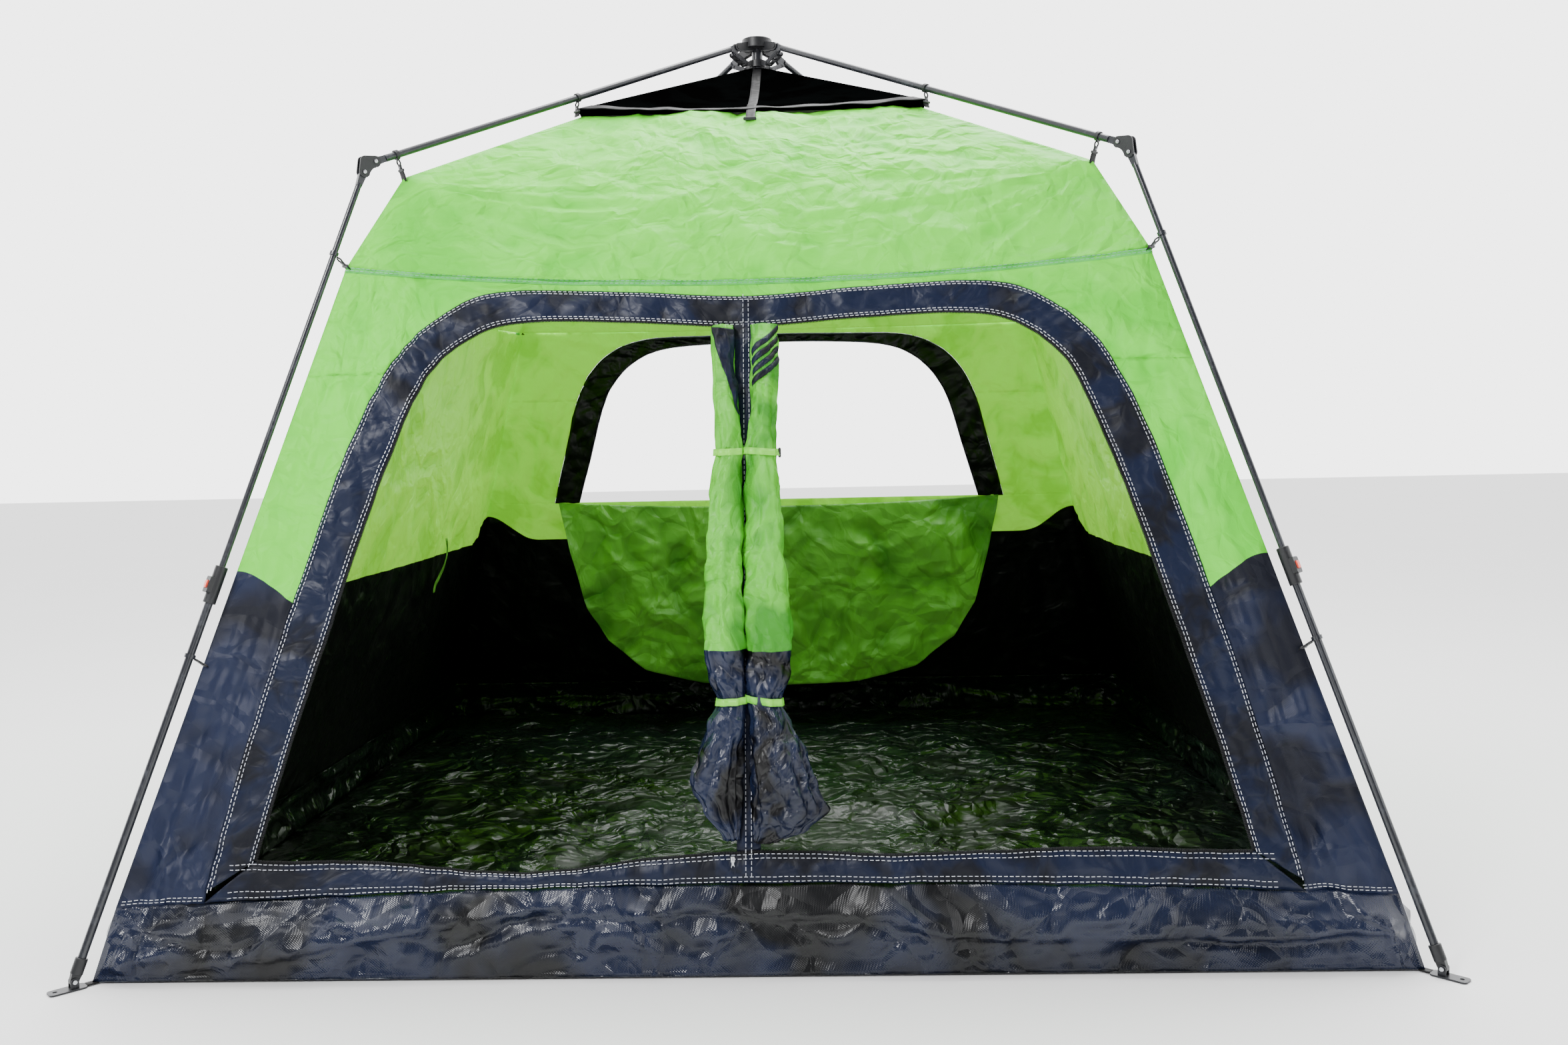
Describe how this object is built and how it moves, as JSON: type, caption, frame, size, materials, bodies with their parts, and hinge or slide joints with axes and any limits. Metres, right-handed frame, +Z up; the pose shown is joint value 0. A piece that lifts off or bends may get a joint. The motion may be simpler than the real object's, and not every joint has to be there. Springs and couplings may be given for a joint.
{
  "type": "pole frame tent",
  "caption": "Square cabin tent hung inside a folding pole frame, with a rolled double door, rear window, vent cap and telescopic legs",
  "frame": {"origin": "on the ground, at the middle of the square floor", "axes": "+Z up, -Y towards the front door, +X to the right when facing the door"},
  "size_m": [2.8756, 2.8756, 2.292],
  "materials": {
    "lime_cloth": "lime polyester taffeta, smooth, slightly shiny",
    "navy_cloth": "navy-black polyester taffeta, smooth, slightly shiny",
    "groundsheet": "woven polyethylene, glossy, crumpled",
    "mesh_cloth": "black no-see-um netting",
    "webbing": "black woven polypropylene webbing",
    "tie_tape": "lime grosgrain tape",
    "black_tube": "black satin powder-coated steel tube",
    "black_plastic": "black moulded nylon, fine satin grain",
    "red_button": "red-orange moulded plastic",
    "bright_steel": "zinc-plated steel",
    "foot_steel": "black coated pressed steel, worn at the edges"
  },
  "bodies": {
    "tent": {"floor_tub": "groundsheet", "front_wall": "lime_cloth", "rear_wall": "lime_cloth", "left_wall": "lime_cloth", "right_wall": "lime_cloth", "roof": "lime_cloth", "vent_mesh": "mesh_cloth", "vent_cap": "navy_cloth", "door_rolls": "lime_cloth", "door_ties": "tie_tape", "rear_flap": "lime_cloth", "corner_straps": "webbing", "zip_slider": "bright_steel"},
    "zip_pull": {"zip_pull": "bright_steel"},
    "hub": {"hub_crown": "black_plastic", "hub_post": "black_tube"},
    "slider": {"hub_slider": "black_plastic"},
    "link_front_left": {"link_front_left": "foot_steel"},
    "rafter_front_left": {"rafter_front_left": "black_tube", "rafter_rings_front_left": "black_plastic", "knuckle_front_left": "black_plastic"},
    "leg_front_left": {"upper_leg_front_left": "black_tube"},
    "lower_leg_front_left": {"lower_leg_front_left": "black_tube", "sleeve_front_left": "black_plastic", "foot_socket_front_left": "black_plastic"},
    "button_front_left": {"button_front_left": "red_button"},
    "foot_front_left": {"foot_plate_front_left": "foot_steel"},
    "link_front_right": {"link_front_right": "foot_steel"},
    "rafter_front_right": {"rafter_front_right": "black_tube", "rafter_rings_front_right": "black_plastic", "knuckle_front_right": "black_plastic"},
    "leg_front_right": {"upper_leg_front_right": "black_tube"},
    "lower_leg_front_right": {"lower_leg_front_right": "black_tube", "sleeve_front_right": "black_plastic", "foot_socket_front_right": "black_plastic"},
    "button_front_right": {"button_front_right": "red_button"},
    "foot_front_right": {"foot_plate_front_right": "foot_steel"},
    "link_rear_right": {"link_rear_right": "foot_steel"},
    "rafter_rear_right": {"rafter_rear_right": "black_tube", "rafter_rings_rear_right": "black_plastic", "knuckle_rear_right": "black_plastic"},
    "leg_rear_right": {"upper_leg_rear_right": "black_tube"},
    "lower_leg_rear_right": {"lower_leg_rear_right": "black_tube", "sleeve_rear_right": "black_plastic", "foot_socket_rear_right": "black_plastic"},
    "button_rear_right": {"button_rear_right": "red_button"},
    "foot_rear_right": {"foot_plate_rear_right": "foot_steel"},
    "link_rear_left": {"link_rear_left": "foot_steel"},
    "rafter_rear_left": {"rafter_rear_left": "black_tube", "rafter_rings_rear_left": "black_plastic", "knuckle_rear_left": "black_plastic"},
    "leg_rear_left": {"upper_leg_rear_left": "black_tube"},
    "lower_leg_rear_left": {"lower_leg_rear_left": "black_tube", "sleeve_rear_left": "black_plastic", "foot_socket_rear_left": "black_plastic"},
    "button_rear_left": {"button_rear_left": "red_button"},
    "foot_rear_left": {"foot_plate_rear_left": "foot_steel"}
  },
  "joints": [
    {"name": "frame_fold", "type": "slide", "parent": "tent", "child": "hub", "axis": [0, 0, 1], "range_m": [0, 1.4], "deforming": ["floor_tub", "front_wall", "rear_wall", "left_wall", "right_wall", "roof", "vent_mesh", "vent_cap", "door_rolls", "door_ties", "rear_flap", "corner_straps"]},
    {"name": "slider_drop", "type": "slide", "parent": "hub", "child": "slider", "axis": [0, 0, 1], "range_m": [-0.0274, 0]},
    {"name": "zip_pull_swing", "type": "hinge", "parent": "tent", "child": "zip_pull", "pos_m": [-0.033, -1.31984, 0.2305], "axis": [-1, 0, 0], "range_deg": [0, 80]},
    {"name": "rafter_fold_front_left", "type": "hinge", "parent": "hub", "child": "rafter_front_left", "pos_m": [-0.05657, -0.05657, 2.256], "axis": [0.7071, -0.7071, 0], "range_deg": [0, 65]},
    {"name": "knuckle_fold_front_left", "type": "hinge", "parent": "rafter_front_left", "child": "leg_front_left", "pos_m": [-0.89519, -0.89519, 1.75], "axis": [0.7071, -0.7071, 0], "range_deg": [-42.82, 0]},
    {"name": "link_turn_front_left", "type": "hinge", "parent": "slider", "child": "link_front_left", "pos_m": [-0.03394, -0.03394, 2.213], "axis": [0.7071, -0.7071, 0], "range_deg": [-48.61, 0]},
    {"name": "telescope_front_left", "type": "slide", "parent": "leg_front_left", "child": "lower_leg_front_left", "axis": [0.267, 0.267, 0.926], "range_m": [0, 0.6]},
    {"name": "button_press_front_left", "type": "slide", "parent": "lower_leg_front_left", "child": "button_front_left", "axis": [0.6548, 0.6548, -0.3776], "range_m": [0, 0.0025], "stiffness_N_per_m": 800},
    {"name": "foot_tilt_front_left", "type": "hinge", "parent": "lower_leg_front_left", "child": "foot_front_left", "pos_m": [-1.39512, -1.39512, 0.016], "axis": [0.7071, -0.7071, 0], "range_deg": [-25, 25]},
    {"name": "rafter_fold_front_right", "type": "hinge", "parent": "hub", "child": "rafter_front_right", "pos_m": [0.05657, -0.05657, 2.256], "axis": [0.7071, 0.7071, 0], "range_deg": [0, 65]},
    {"name": "knuckle_fold_front_right", "type": "hinge", "parent": "rafter_front_right", "child": "leg_front_right", "pos_m": [0.89519, -0.89519, 1.75], "axis": [0.7071, 0.7071, 0], "range_deg": [-42.82, 0]},
    {"name": "link_turn_front_right", "type": "hinge", "parent": "slider", "child": "link_front_right", "pos_m": [0.03394, -0.03394, 2.213], "axis": [0.7071, 0.7071, 0], "range_deg": [-48.61, 0]},
    {"name": "telescope_front_right", "type": "slide", "parent": "leg_front_right", "child": "lower_leg_front_right", "axis": [-0.267, 0.267, 0.926], "range_m": [0, 0.6]},
    {"name": "button_press_front_right", "type": "slide", "parent": "lower_leg_front_right", "child": "button_front_right", "axis": [-0.6548, 0.6548, -0.3776], "range_m": [0, 0.0025], "stiffness_N_per_m": 800},
    {"name": "foot_tilt_front_right", "type": "hinge", "parent": "lower_leg_front_right", "child": "foot_front_right", "pos_m": [1.39512, -1.39512, 0.016], "axis": [0.7071, 0.7071, 0], "range_deg": [-25, 25]},
    {"name": "rafter_fold_rear_right", "type": "hinge", "parent": "hub", "child": "rafter_rear_right", "pos_m": [0.05657, 0.05657, 2.256], "axis": [-0.7071, 0.7071, 0], "range_deg": [0, 65]},
    {"name": "knuckle_fold_rear_right", "type": "hinge", "parent": "rafter_rear_right", "child": "leg_rear_right", "pos_m": [0.89519, 0.89519, 1.75], "axis": [-0.7071, 0.7071, 0], "range_deg": [-42.82, 0]},
    {"name": "link_turn_rear_right", "type": "hinge", "parent": "slider", "child": "link_rear_right", "pos_m": [0.03394, 0.03394, 2.213], "axis": [-0.7071, 0.7071, 0], "range_deg": [-48.61, 0]},
    {"name": "telescope_rear_right", "type": "slide", "parent": "leg_rear_right", "child": "lower_leg_rear_right", "axis": [-0.267, -0.267, 0.926], "range_m": [0, 0.6]},
    {"name": "button_press_rear_right", "type": "slide", "parent": "lower_leg_rear_right", "child": "button_rear_right", "axis": [-0.6548, -0.6548, -0.3776], "range_m": [0, 0.0025], "stiffness_N_per_m": 800},
    {"name": "foot_tilt_rear_right", "type": "hinge", "parent": "lower_leg_rear_right", "child": "foot_rear_right", "pos_m": [1.39512, 1.39512, 0.016], "axis": [-0.7071, 0.7071, 0], "range_deg": [-25, 25]},
    {"name": "rafter_fold_rear_left", "type": "hinge", "parent": "hub", "child": "rafter_rear_left", "pos_m": [-0.05657, 0.05657, 2.256], "axis": [-0.7071, -0.7071, 0], "range_deg": [0, 65]},
    {"name": "knuckle_fold_rear_left", "type": "hinge", "parent": "rafter_rear_left", "child": "leg_rear_left", "pos_m": [-0.89519, 0.89519, 1.75], "axis": [-0.7071, -0.7071, 0], "range_deg": [-42.82, 0]},
    {"name": "link_turn_rear_left", "type": "hinge", "parent": "slider", "child": "link_rear_left", "pos_m": [-0.03394, 0.03394, 2.213], "axis": [-0.7071, -0.7071, 0], "range_deg": [-48.61, 0]},
    {"name": "telescope_rear_left", "type": "slide", "parent": "leg_rear_left", "child": "lower_leg_rear_left", "axis": [0.267, -0.267, 0.926], "range_m": [0, 0.6]},
    {"name": "button_press_rear_left", "type": "slide", "parent": "lower_leg_rear_left", "child": "button_rear_left", "axis": [0.6548, -0.6548, -0.3776], "range_m": [0, 0.0025], "stiffness_N_per_m": 800},
    {"name": "foot_tilt_rear_left", "type": "hinge", "parent": "lower_leg_rear_left", "child": "foot_rear_left", "pos_m": [-1.39512, 1.39512, 0.016], "axis": [-0.7071, -0.7071, 0], "range_deg": [-25, 25]}
  ],
  "couplings": [
    {"joint": "slider_drop", "follows": "frame_fold", "ratio": -0.019216},
    {"joint": "rafter_fold_front_left", "follows": "frame_fold", "rad_per_m": 0.81033},
    {"joint": "knuckle_fold_front_left", "follows": "frame_fold", "rad_per_m": -0.53379},
    {"joint": "link_turn_front_left", "follows": "frame_fold", "rad_per_m": -0.60592},
    {"joint": "rafter_fold_front_right", "follows": "frame_fold", "rad_per_m": 0.81033},
    {"joint": "knuckle_fold_front_right", "follows": "frame_fold", "rad_per_m": -0.53379},
    {"joint": "link_turn_front_right", "follows": "frame_fold", "rad_per_m": -0.60592},
    {"joint": "rafter_fold_rear_right", "follows": "frame_fold", "rad_per_m": 0.81033},
    {"joint": "knuckle_fold_rear_right", "follows": "frame_fold", "rad_per_m": -0.53379},
    {"joint": "link_turn_rear_right", "follows": "frame_fold", "rad_per_m": -0.60592},
    {"joint": "rafter_fold_rear_left", "follows": "frame_fold", "rad_per_m": 0.81033},
    {"joint": "knuckle_fold_rear_left", "follows": "frame_fold", "rad_per_m": -0.53379},
    {"joint": "link_turn_rear_left", "follows": "frame_fold", "rad_per_m": -0.60592}
  ]
}
